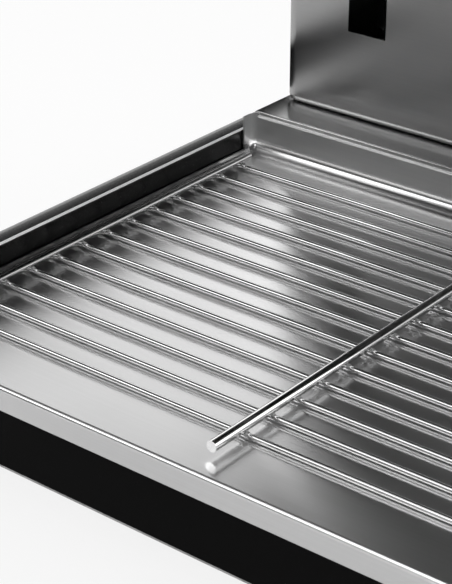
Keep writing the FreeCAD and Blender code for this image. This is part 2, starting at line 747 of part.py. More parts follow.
# Hood: outer shell, rear panel, reflecting liner, wadding and inner housing
hood = body_of("hood_form")
slab = body_box(hood, ("-hoodHalf", "hoodHalf"), ("hoodFront", "hoodRear"), ("hoodBottom", "hoodTop"))
front = measure("hoodFront")
rear = measure("hoodRear")
top = measure("hoodTop")
slab = rounded(hood, slab, lambda p, s: near(p.y, front) and s[2] > 50, "hoodCorner")
slab = rounded(hood, slab, lambda p, s: near(p.z, top) and not near(p.y, rear), "hoodEdge")
hollowed(hood, slab, lambda p, n: n.z < -0.9 or n.y > 0.9, "sheetGauge")
holes = []
controls = (("regulatorAt", "spindleRadius + seatGap"), ("timerAt", "spindleRadius + seatGap"),
            ("switchAt + lampOffset", "lampRadius - 1"), ("regulatorAt + lampOffset - 6", "lampRadius - 1"))
for x, radius in controls:
    holes.append(round_bar("Y", "hoodFront - 1", "hoodFront + 3", (x, "controlUp"), radius))
switchHole = (("switchAt - switchHalf", "switchAt + switchHalf"), ("hoodFront - 4", "hoodFront + 3"),
              ("controlUp - switchRise", "controlUp + switchRise"))
holes.append(block(*switchHole))
for side in ("-1", "1"):
    holes.append(round_bar("Y", "hoodFront - 1", "hoodFront + 3", (side + " * postSpan", "gripUp"), "boltRadius"))
keep(cut(hood, holes, "hood_shell"), "hood_shell")

panel = body_of("hood_rear_form")
wide = "hoodHalf - sheetGauge"
slab = body_box(panel, ("-(%s)" % wide, wide), ("hoodRear - sheetGauge", "hoodRear"), ("hoodBottom", "hoodTop - sheetGauge"))
top = measure("hoodTop - sheetGauge")
rounded(panel, slab, lambda p, s: near(p.z, top) and s[1] > 0.5 and s[0] < 1, "hoodEdge - sheetGauge")
holes = [round_bar("Y", "hoodRear - 3", "hoodRear + 1", spot, "boltRadius") for spot in boltSpots]
keep(cut(panel, holes, "hood_rear_panel"), "hood_rear_panel")


def soft_box(name, x, y, z, corner, edge=None):
    """A box with rounded upright corners and, where asked, a rounded top edge."""
    body = body_of(name)
    slab = body_box(body, x, y, z)
    slab = rounded(body, slab, lambda p, s: s[2] > 1, corner)
    if edge:
        rounded(body, slab, lambda p, s: near(p.z, measure(z[1])), edge)
    return body


rim = "hoodHalf - sheetGauge - seatGap"
rimPlate = soft_box("liner_rim", ("-(%s)" % rim, rim),
                    ("hoodFront + sheetGauge + seatGap", "hoodRear - sheetGauge - seatGap"),
                    ("hoodBottom", "hoodBottom + sheetGauge"), "hoodCorner")
outer = soft_box("liner_outer", ("-linerHalf", "linerHalf"), ("linerFront", "linerRear"),
                 ("hoodBottom", "linerTop"), "linerCorner", "linerCorner - 2")
inner = soft_box("liner_inner", ("sheetGauge - linerHalf", "linerHalf - sheetGauge"),
                 ("linerFront + sheetGauge", "linerRear - sheetGauge"), ("hoodBottom - 1", "linerTop - sheetGauge"),
                 "linerCorner - sheetGauge", "linerCorner - 2 - sheetGauge")
legRows = []
for index in range(3):
    for sign in ("-", "+"):
        legRows.append("hoodMiddle + (%d) * elementPitch %s elementBend" % (index - 1, sign))
holes = [round_bar("X", "linerHalf - 4", "linerHalf + 4", (row, "elementUp"), "elementRadius + seatGap")
         for row in legRows]
keep(cut(fused([rimPlate, outer]), [inner] + holes, "hood_liner"), "hood_liner")

shield = body_of("inner_housing")
wide = "hoodHalf - sheetGauge - shieldInset"
slab = body_box(shield, ("-(%s)" % wide, wide),
                ("hoodFront + sheetGauge + shieldInset", "hoodRear - sheetGauge - shieldInset"),
                ("hoodBottom + sheetGauge", "hoodBottom + shieldHeight"))
slab = rounded(shield, slab, lambda p, s: s[2] > 5, "hoodCorner")
hollowed(shield, slab, lambda p, n: n.z < -0.9, "sheetGauge")
keep(shield, "inner_housing")
keep(block(("-linerHalf", "linerHalf"), ("linerFront", "linerRear"),
           ("linerTop + seatGap", "hoodBottom + shieldHeight - sheetGauge - seatGap"), "insulation_pad"), "insulation_pad")

# Heating elements: three hairpins with their connection pins, hung from two notched strips
for index, node in enumerate(("front", "middle", "rear")):
    row = "hoodMiddle + (%d) * elementPitch" % (index - 1)
    turnAt = "elementMargin - linerHalf"
    bits = []
    for sign in ("-", "+"):
        leg = "%s %s elementBend" % (row, sign)
        bits.append(round_bar("X", turnAt, "linerHalf + elementTail", (leg, "elementUp"), "elementRadius"))
        bits.append(round_bar("X", "linerHalf + elementTail", "linerHalf + elementTail + 8", (leg, "elementUp"), "screwRadius"))
    bow = doc.addObject("Part::Torus", fresh("bow"))
    bow.Angle3 = 180
    bow.Placement = Placement(Vector(), Rotation(Vector(0, 0, 1), 90))
    bind(bow, Radius1="elementBend", Radius2="elementRadius")
    bits.append(place(bow, turnAt, row, "elementUp"))
    keep(fused(bits, "heating_element_" + node), "heating_element_" + node)

strips = []
for side in ("-1", "1"):
    middle = side + " * linerHalf / 2"
    strip = block((middle + " - hangerGauge / 2", middle + " + hangerGauge / 2"), ("linerFront + 14", "linerRear - 14"),
                  ("elementUp - elementRadius - 2.5", "linerTop - sheetGauge"))
    holes = [round_bar("X", middle + " - 4", middle + " + 4", (row, "elementUp"), "elementRadius + runFit") for row in legRows]
    strips.append(cut(strip, holes))
keep(group(strips, "element_hangers"), "element_hangers")

bars = []
for index in range(-6, 7):
    bars.append(round_bar("Y", "linerFront + sheetGauge + seatGap", "linerRear - sheetGauge - seatGap",
                          ("(%d) * guardPitch" % index, "hoodBottom + guardRise"), "guardRadius"))
for row in ("linerFront + 40", "linerRear - 40"):
    bars.append(round_bar("X", "sheetGauge + seatGap - linerHalf", "linerHalf - sheetGauge - seatGap",
                          (row, "hoodBottom + guardRise + 2 * guardRadius - weldSink"), "guardRadius"))
keep(fused(bars, "element_guard"), "element_guard")

# Handle: a tube on two posts
tube = round_bar("X", "-gripHalf", "gripHalf", ("gripAt", "gripUp"), "gripRadius")
bore = round_bar("X", "-gripHalf - 1", "gripHalf + 1", ("gripAt", "gripUp"), "gripRadius - 1.5")
keep(cut(tube, [bore], "handle_bar"), "handle_bar")
posts = []
for hand, side in hands:
    spot = (side + " * postSpan", "gripUp")
    stem = round_bar("Y", "gripAt", "hoodFront", spot, "postRadius")
    collar = round_bar("Y", "hoodFront - 3", "hoodFront", spot, "postRadius + 4")
    saddle = round_bar("X", "-gripHalf", "gripHalf", ("gripAt", "gripUp"), "gripRadius")
    posts.append(cut(fused([stem, collar]), [saddle]))
keep(group(posts, "handle_posts"), "handle_posts")
dome = [("0", "-12"), ("gripRadius - 1.5", "-12"), ("gripRadius - 1.5", "0"), ("gripRadius", "0"),
        ("gripRadius", "2"), ("gripRadius - 1", "4.5"), ("gripRadius - 4", "6"), ("0", "6")]
caps = [turned("grip_cap_right", "X", dome, ("gripHalf", "gripAt", "gripUp")),
        turned("grip_cap_left", "-X", dome, ("-gripHalf", "gripAt", "gripUp"))]
keep(group(caps, "handle_caps"), "handle_caps")

# Controls on the front of the hood
plate = body_of("panel_form")
slab = body_box(plate, ("-panelHalf", "panelHalf"), ("panelFront", "hoodFront"),
                ("controlUp - panelHeight / 2", "controlUp + panelHeight / 2"))
rounded(plate, slab, lambda p, s: s[1] > 1 and s[0] < 1 and s[2] < 1, "panelGauge * 3")
holes = [round_bar("Y", "panelFront - 1", "hoodFront + 1", (x, "controlUp"), radius) for x, radius in controls]
holes.append(block(*switchHole))
keep(cut(plate, holes, "control_panel"), "control_panel")

inside = "hoodFront + sheetGauge"
for node, middle, deep in (("energy_regulator", "regulatorAt", "34"), ("cooking_timer", "timerAt", "46")):
    case = block((middle + " - 21", middle + " + 21"), (inside, inside + " + " + deep), ("controlUp - caseHalf", "controlUp + caseHalf"))
    spindle = round_bar("Y", "panelFront - knobGap - knobDepth + 8", inside, (middle, "controlUp"), "spindleRadius")
    keep(fused([case, spindle], node), node)

knob = [("spindleRadius + runFit", "0"), ("knobRadius", "0"), ("knobRadius", "4"), ("knobRadius - 3.5", "5.5"),
        ("knobRadius - 5", "knobDepth - 1.5"), ("knobRadius - 6.5", "knobDepth"), ("0", "knobDepth"),
        ("0", "knobDepth - 7"), ("spindleRadius + runFit", "knobDepth - 7")]
for node, middle in (("regulator_knob", "regulatorAt"), ("timer_knob", "timerAt")):
    form = turned(node + "_form", "-Y", knob, (middle, "panelFront - knobGap", "controlUp"))
    ridge = block((middle + " - 2.6", middle + " + 2.6"), ("panelFront - knobGap - knobDepth - 3", "panelFront - knobGap - knobDepth + 6"),
                  ("controlUp - knobRadius + 4", "controlUp + knobRadius - 1.5"))
    hole = round_bar("Y", "panelFront - knobGap - knobDepth + 7", "panelFront", (middle, "controlUp"), "spindleRadius + runFit")
    keep(cut(fused([form, ridge]), [hole], node), node)

frame = block(("switchAt - switchHalf - 2", "switchAt + switchHalf + 2"), ("panelFront - 1.6", "panelFront"),
              ("controlUp - switchRise - 2", "controlUp + switchRise + 2"))
case = block(("switchAt - switchHalf", "switchAt + switchHalf"), ("panelFront", "hoodFront + 24"),
             ("controlUp - switchRise", "controlUp + switchRise"))
pocket = block(("switchAt - switchHalf + 1.5", "switchAt + switchHalf - 1.5"), ("panelFront - 3", "hoodFront + 9"),
               ("controlUp - switchRise + 1.5", "controlUp + switchRise - 1.5"))
pivot = round_bar("X", "switchAt - switchHalf - 1", "switchAt + switchHalf + 1", ("panelFront + pivotDepth", "controlUp"),
                  "pivotRadius + runFit")
keep(cut(fused([frame, case]), [pocket, pivot], "power_switch"), "power_switch")

rocker = body_of("switch_rocker")
corners = [("-pivotDepth - 1.6", "0"), ("-pivotDepth - 3", "switchRise - 3"), ("0", "switchRise - 3.5"), ("4", "4"),
           ("4", "-4"), ("0", "3.5 - switchRise"), ("-pivotDepth - 3", "3 - switchRise")]
padded(rocker, outline(rocker, "YZ_Plane", corners), "2 * (switchHalf - 1.9)")
body_bar(rocker, "X", "0.4 - switchHalf", "switchHalf - 0.4", ("0", "0"), "pivotRadius")
rocker.Placement = Placement(Vector(), Rotation(Vector(1, 0, 0), -8))
place(rocker, "switchAt", "panelFront + pivotDepth", "controlUp")
keep(rocker, "switch_rocker")

lens = [("0", "-14"), ("lampRadius - 1", "-14"), ("lampRadius - 1", "0"), ("lampRadius", "0"), ("lampRadius", "1.5"),
        ("lampRadius - 1.5", "4"), ("lampRadius - 4", "5"), ("0", "5")]
keep(turned("pilot_lamp_power", "-Y", lens, (controls[2][0], "panelFront", "controlUp")), "pilot_lamp_power")
keep(turned("pilot_lamp_heat", "-Y", lens, (controls[3][0], "panelFront", "controlUp")), "pilot_lamp_heat")

# Supply entry: a gland in the back cover and the terminal block inside
gland = [("glandBore", "-12"), ("glandRadius - 2", "-12"), ("glandRadius - 2", "0"), ("glandRadius + 3", "0"),
         ("glandRadius + 3", "5"), ("glandRadius", "6"), ("glandRadius", "glandReach - 4"),
         ("glandRadius - 3", "glandReach"), ("glandBore", "glandReach")]
keep(turned("cable_gland", "Y", gland, ("glandAt", "columnBack", "glandUp")), "cable_gland")
case = block(("glandAt - 80", "glandAt - 30"), ("columnBack - 50", "columnBack - 26"),
             ("footHeight + sheetGauge", "footHeight + sheetGauge + 26"))
holes = []
for step in (0, 1, 2):
    holes.append(round_bar("Z", "footHeight + sheetGauge + 14", "footHeight + sheetGauge + 30",
                           ("glandAt - 71 + %d * 16" % step, "columnBack - 38"), "boltRadius + 1"))
keep(cut(case, holes, "terminal_block"), "terminal_block")

doc.recompute()

# Nothing is written unless every object is sound
for thing in doc.Objects:
    if "Invalid" in thing.State or "Error" in thing.State:
        raise RuntimeError("failed: %s %s" % (thing.Name, thing.State))
for piece in pieces:
    if piece.Shape.isNull() or not piece.Shape.isValid() or not piece.Shape.Solids:
        raise RuntimeError("no sound solid: " + piece.Label)

os.makedirs("parts", exist_ok=True)
whole = FreeCAD.BoundBox()
for piece in pieces:
    piece.Shape.exportStep("parts/%s.step" % piece.Label)
    whole.add(piece.Shape.BoundBox)
print(len(pieces), "pieces", whole)
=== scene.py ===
import bmesh
import bpy
import json
import math
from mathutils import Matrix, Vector


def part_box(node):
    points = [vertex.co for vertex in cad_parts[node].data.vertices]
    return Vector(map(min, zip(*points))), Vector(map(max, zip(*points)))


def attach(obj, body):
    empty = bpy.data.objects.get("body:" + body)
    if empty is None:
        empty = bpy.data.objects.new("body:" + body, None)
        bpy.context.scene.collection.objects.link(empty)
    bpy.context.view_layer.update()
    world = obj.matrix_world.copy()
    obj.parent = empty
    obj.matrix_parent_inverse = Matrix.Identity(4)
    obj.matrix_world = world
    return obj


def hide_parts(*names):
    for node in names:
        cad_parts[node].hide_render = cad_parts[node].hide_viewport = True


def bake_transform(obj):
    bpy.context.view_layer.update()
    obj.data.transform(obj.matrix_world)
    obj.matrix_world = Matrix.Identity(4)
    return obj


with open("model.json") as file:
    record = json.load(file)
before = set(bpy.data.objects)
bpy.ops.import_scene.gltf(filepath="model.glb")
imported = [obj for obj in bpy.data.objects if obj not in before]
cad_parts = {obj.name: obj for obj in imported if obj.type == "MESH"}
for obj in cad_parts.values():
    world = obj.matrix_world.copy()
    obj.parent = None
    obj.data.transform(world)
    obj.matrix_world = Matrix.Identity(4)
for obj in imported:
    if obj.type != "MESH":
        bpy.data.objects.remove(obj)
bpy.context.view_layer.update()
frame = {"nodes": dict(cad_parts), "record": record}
nodes = frame["nodes"]
print("frame loaded:", len(nodes), "nodes")


# A socket of a shader tree: sums, products and comparisons of sockets add their Math nodes
class Value:
    def __init__(self, finish, socket):
        self.finish = finish
        self.socket = socket

    def reckon(self, operation, *terms):
        return self.finish.add("ShaderNodeMath", {"operation": operation}, dict(enumerate(terms)))

    def __add__(self, other):
        return self.reckon("ADD", self, other)

    def __radd__(self, other):
        return self.reckon("ADD", other, self)

    def __mul__(self, other):
        return self.reckon("MULTIPLY", self, other)

    def __rmul__(self, other):
        return self.reckon("MULTIPLY", other, self)

    def __lt__(self, other):
        return self.reckon("LESS_THAN", self, other)

    def __gt__(self, other):
        return self.reckon("GREATER_THAN", self, other)


def grey(level):
    return (level, level, level)


def opaque(colour):
    return (*colour, 1) if isinstance(colour, tuple) else colour


# A material or world with its node tree
class Finish:
    def __init__(self, owner):
        owner.use_nodes = True
        self.owner = owner
        self.tree = owner.node_tree
        self.tree.nodes.clear()

    def add(self, kind, settings=None, inputs=None, output=0):
        node = self.tree.nodes.new(kind)
        for name, setting in (settings or {}).items():
            if name == "stops":
                for stop, (spot, tone) in zip(node.color_ramp.elements, setting):
                    stop.position = spot
                    stop.color = opaque(grey(tone))
            else:
                setattr(node, name, setting)
        for name, given in (inputs or {}).items():
            if isinstance(given, Value):
                self.tree.links.new(given.socket, node.inputs[name])
            else:
                node.inputs[name].default_value = given
        return Value(self, node.outputs[output]) if node.outputs else None

    def blend(self, share, low, high):
        inputs = {0: share, 6: opaque(low), 7: opaque(high)}  # the Mix node's colour sockets
        return self.add("ShaderNodeMix", {"data_type": "RGBA"}, inputs, 2)

    def slope(self, value, start, end, low=0.0, high=1.0):
        inputs = {"Value": value, "From Min": start, "From Max": end, "To Min": low, "To Max": high}
        return self.add("ShaderNodeMapRange", {"interpolation_type": "SMOOTHSTEP"}, inputs)

    def place(self, stretch=(1, 1, 1)):
        coords = self.add("ShaderNodeTexCoord", output="Object")
        return self.add("ShaderNodeMapping", {}, {"Vector": coords, "Scale": stretch})

    def axis(self, letter):
        coords = self.add("ShaderNodeTexCoord", output="Object")
        return self.add("ShaderNodeSeparateXYZ", {}, {0: coords}, letter)

    def noise(self, scale, stretch=(1, 1, 1), detail=3, rough=0.5):
        inputs = {"Vector": self.place(stretch), "Scale": scale, "Detail": detail, "Roughness": rough}
        return self.add("ShaderNodeTexNoise", {}, inputs)

    def bump(self, height, depth, strength):
        return self.add("ShaderNodeBump", {}, {"Height": height, "Distance": depth, "Strength": strength})

    def principled(self, **sockets):
        inputs = {name.replace("_", " "): opaque(given) for name, given in sockets.items()}
        return self.add("ShaderNodeBsdfPrincipled", {}, inputs)

    def layer(self, share, under, over):
        return self.add("ShaderNodeMixShader", {}, {0: share, 1: under, 2: over})

    def cover(self, surface):
        self.add("ShaderNodeOutputMaterial", {}, {"Surface": surface})
        return self.owner

    def shade(self, **sockets):
        return self.cover(self.principled(**sockets))


def newFinish(name):
    return Finish(bpy.data.materials.new(name))


def put(name, data):
    piece = bpy.data.objects.new(name, data)
    bpy.context.scene.collection.objects.link(piece)
    return piece


def dress(piece, finish):
    piece.data.materials.clear()
    piece.data.materials.append(finish)


def addPiece(name, points, faces, finish, body):
    mesh = bpy.data.meshes.new(name)
    mesh.from_pydata(points, [], faces)
    piece = put(name, mesh)
    dress(piece, finish)
    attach(piece, body)
    return piece


# Camera: a long lens from the right front corner, above the tray
camera = {"spot": (0.4774, -0.7875, 0.564), "tilt": 62.79, "turn": 38.89, "lens": 116.6, "farthest": 50}
eye = put("camera", bpy.data.cameras.new("camera"))
eye.location = camera["spot"]
eye.rotation_euler = (math.radians(camera["tilt"]), 0, math.radians(camera["turn"]))
eye.data.lens = camera["lens"]
eye.data.clip_end = camera["farthest"]
bpy.context.scene.camera = eye
bpy.context.scene.view_settings.view_transform = "Standard"

# Studio: a dark ceiling over light that comes in low. Each band of light lies around one heading and
# below one height, in degrees: a wide one to the rear left, a high window to the front left, which has a
# lower edge too, a low one to the front right and a tall one to the rear right. "spread" holds the
# cosines between which a band fades in towards its heading, and "dusk" the heights over which the light
# all round gives way to the ceiling
studio = {"ceiling": 0.02, "round": 0.14, "dusk": (12, 28), "soft": 4, "bands": [
    {"towards": (-0.63, 0.777, 0), "spread": (0.1, 0.55), "high": 33.5, "level": 1.38},
    {"towards": (-0.63, -0.777, 0), "spread": (0.45, 0.62), "low": 32, "high": 46, "level": 3.0},
    {"towards": (0.63, -0.777, 0), "spread": (0.3, 0.7), "high": 18, "level": 2.0},
    {"towards": (0.63, 0.777, 0), "spread": (0.5, 0.75), "high": 50, "level": 1.8}]}
world = Finish(bpy.data.worlds.new("surround"))
heading = world.add("ShaderNodeTexCoord", output="Generated")
height = world.add("ShaderNodeSeparateXYZ", {}, {0: heading}, "Z")
degrees = height.reckon("ARCSINE", height) * (180 / math.pi)
soft = studio["soft"]
level = world.slope(degrees, *studio["dusk"], studio["round"], studio["ceiling"])
for band in studio["bands"]:
    sides = {0: heading, 1: band["towards"]}
    facing = world.add("ShaderNodeVectorMath", {"operation": "DOT_PRODUCT"}, sides, "Value")
    share = world.slope(facing, *band["spread"])
    share = share * world.slope(degrees, band["high"] - soft, band["high"] + soft, 1, 0)
    if "low" in band:
        share = share * world.slope(degrees, band["low"] - soft, band["low"] + soft)
    level = level + share * band["level"]
backdrop = world.add("ShaderNodeBackground", {}, {"Color": opaque(grey(1)), "Strength": level})
world.add("ShaderNodeOutputWorld", {}, {"Surface": backdrop})
bpy.context.scene.world = world.owner

# Floor: matt to the grill, and almost evenly white to the camera
floor = {"size": 12, "tone": 0.9, "glow": 0.85}
paleFloor = newFinish("pale_floor")
seen = paleFloor.add("ShaderNodeLightPath", output="Is Camera Ray")
matt = paleFloor.add("ShaderNodeBsdfDiffuse", {}, {"Color": opaque(grey(floor["tone"]))})
glow = paleFloor.add("ShaderNodeEmission", {}, {"Color": opaque(grey(1)), "Strength": 1.0})
bpy.ops.mesh.primitive_plane_add(size=floor["size"])
ground = bpy.context.object
ground.name = "floor"
dress(ground, paleFloor.cover(paleFloor.layer(seen * floor["glow"], matt, glow)))

# Key light: one wide soft lamp high over the front
keyLight = {"spot": (-0.3, -0.6, 2.5), "target": (0, 0, 0.1), "size": (2.0, 2.0), "power": 24}
lamp = put("key_light", bpy.data.lights.new("key_light", "AREA"))
lamp.data.shape = "RECTANGLE"
lamp.data.size, lamp.data.size_y = keyLight["size"]
lamp.data.energy = keyLight["power"]
lamp.location = keyLight["spot"]
aim = Vector(keyLight["target"]) - Vector(keyLight["spot"])
lamp.rotation_euler = aim.to_track_quat("-Z", "Y").to_euler()

# A black card with a soft upper edge, beside the left rail, keeps the white surround off the tray's left
# edge; the camera doesn't see it
blackCard = {"spot": (-0.236, -0.04, 0.131), "length": 0.42, "height": 0.035, "fade": (-0.5, -0.25),
             "tone": 0.003}
bpy.ops.mesh.primitive_plane_add(size=1)
card = bpy.context.object
card.name = "black_card"
card.scale = (blackCard["height"], blackCard["length"], 1)
card.location = blackCard["spot"]
card.rotation_euler = (0, math.pi / 2, 0)
card.visible_camera = False
card.visible_diffuse = False
card.visible_shadow = False
cardBlack = newFinish("card_black")
fade = cardBlack.slope(cardBlack.axis("X"), *blackCard["fade"])
dress(card, cardBlack.shade(Base_Color=grey(blackCard["tone"]), Roughness=1.0, Specular_IOR_Level=0.0,
                            Alpha=fade))
print("camera and studio ready")


# Sheet steel, brushed from side to side: fine scratches in tone, roughness and bump. Two reflections lie
# over each other, a crisp one and a softer one. Between the two heights of "satin", where it is given,
# the sheet gets duller
brushing = {"fine": (6, 850, 850), "broad": (2.5, 130, 130), "fineShare": 0.65, "patches": 9,
            "patchShare": 0.25, "patchTone": 0.86, "smoother": 0.05, "lineRough": 0.06, "patchRough": 0.04,
            "along": 0.98, "softer": 0.15, "softShare": 0.3, "satin": 0.25, "depth": 0.00001,
            "strength": 0.05}


def brushedSheet(name, tone=0.76, rough=0.15, streak=0.05, satin=None):
    finish = newFinish(name)
    fine = finish.noise(1, brushing["fine"], 1)
    broad = finish.noise(1, brushing["broad"], 2)
    patch = finish.noise(brushing["patches"], detail=2)
    lines = fine * brushing["fineShare"] + broad * (1 - brushing["fineShare"])
    colour = finish.blend(lines, grey(tone - streak), grey(tone + streak))
    colour = finish.blend(patch * brushing["patchShare"], colour, grey(tone * brushing["patchTone"]))
    roughness = rough - brushing["smoother"] + lines * brushing["lineRough"]
    roughness = roughness + patch * brushing["patchRough"]
    if satin:
        roughness = roughness + finish.slope(finish.axis("Z"), *satin, 0, brushing["satin"])
    scratches = finish.bump(lines, brushing["depth"], brushing["strength"])
    crisp, softer = (finish.principled(Base_Color=colour, Metallic=1.0, Anisotropic=brushing["along"],
                                       Roughness=roughness + extra, Normal=scratches)
                     for extra in (0, brushing["softer"]))
    return finish.cover(finish.layer(brushing["softShare"], crisp, softer))


# Black enamel with the faint waviness of a fired coat and a few specks. Where bounds are given, a painted
# highlight, a pale stripe in the colour, lies nearer to the middle than their first value and higher than
# their second
enamel = {"waves": 55, "stretch": (1, 0.35, 1), "dust": 900, "specks": [(0.66, 0.0), (0.74, 1.0)],
          "speckShare": 0.2, "tone": 0.005, "speckTone": 0.03, "highlightTone": 0.95, "rough": 0.22,
          "speckRough": 0.16, "waveRough": 0.05, "depth": 0.0002, "strength": 0.15}


def blackEnamel(name, sheen, highlightBounds=None):
    finish = newFinish(name)
    waves = finish.noise(enamel["waves"], enamel["stretch"], 2, 0.4)
    dust = finish.noise(enamel["dust"], detail=2, rough=0.7)
    specks = finish.add("ShaderNodeValToRGB", {"stops": enamel["specks"]}, {"Fac": dust})
    tone = finish.blend(specks * enamel["speckShare"], grey(enamel["tone"]), grey(enamel["speckTone"]))
    # painted highlight: a pale stripe in the base colour along the edge
    if highlightBounds:
        aside = finish.axis("X")
        highlightMask = (aside.reckon("ABSOLUTE", aside) < highlightBounds[0]) * (finish.axis("Z") > highlightBounds[1])
        tone = finish.blend(highlightMask, tone, grey(enamel["highlightTone"]))
    roughness = enamel["rough"] + specks * enamel["speckRough"] + waves * enamel["waveRough"]
    return finish.shade(Base_Color=tone, Roughness=roughness, Specular_IOR_Level=sheen,
                        Normal=finish.bump(waves, enamel["depth"], enamel["strength"]))


# Plated wire and ground rods: bright, with drawing lines along the wire
drawing = {"haze": 70, "darker": 0.1, "paler": 0.05, "smoother": 0.04, "lineRough": 0.05, "hazeRough": 0.03,
           "depth": 0.00002, "strength": 0.2}


def brightMetal(name, tone=0.74, rough=0.08, along=(25, 600, 600)):
    finish = newFinish(name)
    drawn = finish.noise(1, along, 2)
    haze = finish.noise(drawing["haze"], rough=0.6)
    colour = finish.blend(haze, grey(tone - drawing["darker"]), grey(tone + drawing["paler"]))
    roughness = rough - drawing["smoother"] + drawn * drawing["lineRough"] + haze * drawing["hazeRough"]
    return finish.shade(Base_Color=colour, Metallic=1.0, Roughness=roughness,
                        Normal=finish.bump(drawn, drawing["depth"], drawing["strength"]))


# Plain zinc-coated sheet with its soft crystals
zinc = {"crystals": 130, "fine": 500, "contrast": 0.08, "crystalRough": 0.12, "fineRough": 0.06,
        "depth": 0.00003, "strength": 0.2}


def zincSheet(name, tone=0.5, rough=0.42):
    finish = newFinish(name)
    places = {"Vector": finish.place(), "Scale": zinc["crystals"]}
    cells = finish.add("ShaderNodeTexVoronoi", {"feature": "F1"}, places, "Color")
    crystal = finish.add("ShaderNodeSeparateColor", {}, {0: cells}, "Red")
    fine = finish.noise(zinc["fine"], detail=2, rough=0.6)
    colour = finish.blend(crystal, grey(tone - zinc["contrast"]), grey(tone + zinc["contrast"]))
    roughness = rough + crystal * zinc["crystalRough"] + fine * zinc["fineRough"]
    return finish.shade(Base_Color=colour, Metallic=1.0, Roughness=roughness,
                        Normal=finish.bump(fine, zinc["depth"], zinc["strength"]))


# Moulded plastic or rubber: fine grain, a little wear in the shine
moulding = {"wear": 35, "wearShare": 0.5, "paler": 1.35, "lift": 0.012, "smoother": 0.06, "wearRough": 0.16,
            "coatRough": 0.08, "strength": 0.5}


def moulded(name, colour, rough=0.45, grain=1400, depth=0.00004, coat=0.0):
    finish = newFinish(name)
    skin = finish.noise(grain, detail=2)
    wear = finish.noise(moulding["wear"], rough=0.6)
    pale = tuple(min(1, part * moulding["paler"] + moulding["lift"]) for part in colour)
    return finish.shade(Base_Color=finish.blend(wear * moulding["wearShare"], colour, pale),
                        Roughness=rough - moulding["smoother"] + wear * moulding["wearRough"],
                        Coat_Weight=coat, Coat_Roughness=moulding["coatRough"],
                        Normal=finish.bump(skin, depth, moulding["strength"]))


casting = {"pits": 320, "darker": 0.7, "paler": 1.4, "metal": 0.7, "pitRough": 0.2, "depth": 0.0003,
           "strength": 0.6}


def castMetal(name, tone=0.1, rough=0.62):
    finish = newFinish(name)
    pits = finish.noise(casting["pits"], detail=4, rough=0.65)
    colour = finish.blend(pits, grey(tone * casting["darker"]), grey(tone * casting["paler"]))
    return finish.shade(Base_Color=colour, Metallic=casting["metal"],
                        Roughness=rough + pits * casting["pitRough"],
                        Normal=finish.bump(pits, casting["depth"], casting["strength"]))


felt = {"fibres": 240, "stretch": (1, 1, 3), "dark": (0.5, 0.46, 0.34), "pale": (0.82, 0.78, 0.64),
        "rough": 0.9, "depth": 0.0015, "strength": 0.8}


def woolFelt(name):
    finish = newFinish(name)
    fibres = finish.noise(felt["fibres"], felt["stretch"], 5, 0.7)
    return finish.shade(Base_Color=finish.blend(fibres, felt["dark"], felt["pale"]), Roughness=felt["rough"],
                        Normal=finish.bump(fibres, felt["depth"], felt["strength"]))


# Stranded rope: slanted ridges that wind around the line
strands = {"ridges": 260, "ripple": 0.4, "dark": 0.12, "pale": 0.55, "rough": 0.35, "ridgeRough": 0.1,
           "depth": 0.0004, "strength": 0.8}


def ropeSteel(name):
    finish = newFinish(name)
    slanted = {"wave_type": "BANDS", "bands_direction": "DIAGONAL"}
    winding = {"Vector": finish.place(), "Scale": strands["ridges"], "Distortion": strands["ripple"],
               "Detail": 1}
    twist = finish.add("ShaderNodeTexWave", slanted, winding)
    colour = finish.blend(twist, grey(strands["dark"]), grey(strands["pale"]))
    return finish.shade(Base_Color=colour, Metallic=1.0,
                        Roughness=strands["rough"] + twist * strands["ridgeRough"],
                        Normal=finish.bump(twist, strands["depth"], strands["strength"]))


# Heating rod: sheath gone dull and brownish in patches
sheath = {"burns": 28, "grain": 700, "dark": (0.05, 0.045, 0.045), "brown": (0.2, 0.165, 0.14), "metal": 0.8,
          "rough": 0.5, "burnRough": 0.2, "depth": 0.00005, "strength": 0.4}


def heatedSheath(name):
    finish = newFinish(name)
    burns = finish.noise(sheath["burns"], detail=4, rough=0.6)
    grain = finish.noise(sheath["grain"])
    return finish.shade(Base_Color=finish.blend(burns, sheath["dark"], sheath["brown"]),
                        Metallic=sheath["metal"], Roughness=sheath["rough"] + burns * sheath["burnRough"],
                        Normal=finish.bump(grain, sheath["depth"], sheath["strength"]))


lens = {"facets": 260, "darker": 0.7, "rough": 0.1, "facetRough": 0.1, "coat": 0.6, "coatRough": 0.04,
        "depth": 0.0001, "strength": 0.3}


def clearLens(name, colour):
    finish = newFinish(name)
    facets = finish.noise(lens["facets"], detail=1, rough=0.4)
    deep = tuple(part * lens["darker"] for part in colour)
    return finish.shade(Base_Color=finish.blend(facets, deep, colour),
                        Roughness=lens["rough"] + facets * lens["facetRough"],
                        Coat_Weight=lens["coat"], Coat_Roughness=lens["coatRough"],
                        Normal=finish.bump(facets, lens["depth"], lens["strength"]))


